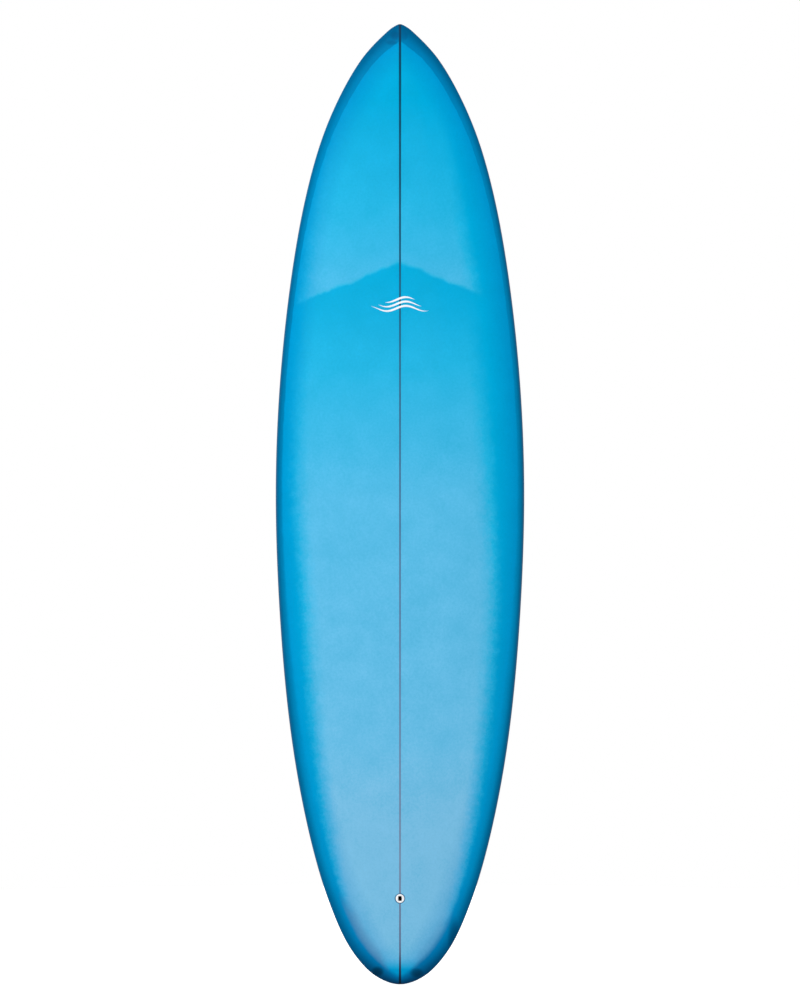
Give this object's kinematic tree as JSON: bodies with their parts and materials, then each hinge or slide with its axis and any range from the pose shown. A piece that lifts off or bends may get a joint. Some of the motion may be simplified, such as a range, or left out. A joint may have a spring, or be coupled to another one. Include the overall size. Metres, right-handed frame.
{
  "type": "surfboard",
  "caption": "Surfboard with a pointed nose and rounded tail: foam halves on a wooden stringer, tinted glass skins, a leash plug, a sliding centre fin and smaller side fins.",
  "frame": {"origin": "the end of the tail on the centre line, at the height of the rail's edge", "axes": "+Z from tail to nose, deck faces -Y, bottom and fins face +Y, +X to the right seen from the deck side"},
  "size_m": [0.555, 0.2722, 2.1336],
  "materials": {
    "tinted_glass": "glossy, deep blue, clear coat",
    "tinted_glass_dark": "glossy, dark blue",
    "patch_cloth": "blue tinted cloth",
    "foam": "matt white foam",
    "stringer_wood": "raw timber",
    "tinted_resin": "glossy blue resin",
    "white_plastic": "semi-gloss white",
    "black_plastic": "satin black",
    "fin_composite": "glossy dark composite",
    "stainless": "brushed",
    "brass": "satin"
  },
  "bodies": {
    "board": {"foam_blank_left": "foam", "foam_blank_right": "foam", "stringer": "stringer_wood", "deck_glass": "tinted_glass", "bottom_glass": "tinted_glass_dark", "deck_patch": "patch_cloth", "leash_plug_cup": "white_plastic", "leash_plug_bar": "stainless", "leash_plug_bed": "tinted_resin", "center_fin_box": "black_plastic", "center_fin_bed": "tinted_resin", "side_fin_box_left": "black_plastic", "side_fin_box_right": "black_plastic", "side_fin_bed_left": "tinted_resin", "side_fin_bed_right": "tinted_resin"},
    "center_fin_body": {"center_fin": "fin_composite", "center_fin_pin": "brass", "center_fin_plate": "stainless"},
    "center_screw_body": {"center_fin_screw": "stainless"},
    "side_fin_left_body": {"side_fin_left": "fin_composite"},
    "side_fin_right_body": {"side_fin_right": "fin_composite"},
    "side_screw_left_body": {"side_fin_screw_left": "stainless"},
    "side_screw_right_body": {"side_fin_screw_right": "stainless"}
  },
  "joints": [
    {"name": "center_fin_slide", "type": "slide", "parent": "board", "child": "center_fin_body", "axis": [0, 0.0687, 0.9976], "range_m": [-0.012, 0.024]},
    {"name": "center_fin_screw_turn", "type": "hinge", "parent": "center_fin_body", "child": "center_screw_body", "pos_m": [0, 0.04119, 0.40231], "axis": [0, 0.9976, -0.0687], "continuous": true},
    {"name": "side_fin_left_pull", "type": "slide", "parent": "board", "child": "side_fin_left_body", "axis": [-0.0551, 0.9953, -0.0796], "range_m": [0, 0.018]},
    {"name": "side_fin_right_pull", "type": "slide", "parent": "board", "child": "side_fin_right_body", "axis": [0.0551, 0.9953, -0.0796], "range_m": [0, 0.018]},
    {"name": "side_screw_left_turn", "type": "hinge", "parent": "board", "child": "side_screw_left_body", "pos_m": [-0.15505, 0.0399, 0.40851], "axis": [-0.0259, 0.903, 0.4289], "continuous": true},
    {"name": "side_screw_right_turn", "type": "hinge", "parent": "board", "child": "side_screw_right_body", "pos_m": [0.15505, 0.0399, 0.40851], "axis": [0.0259, 0.903, 0.4289], "continuous": true}
  ]
}
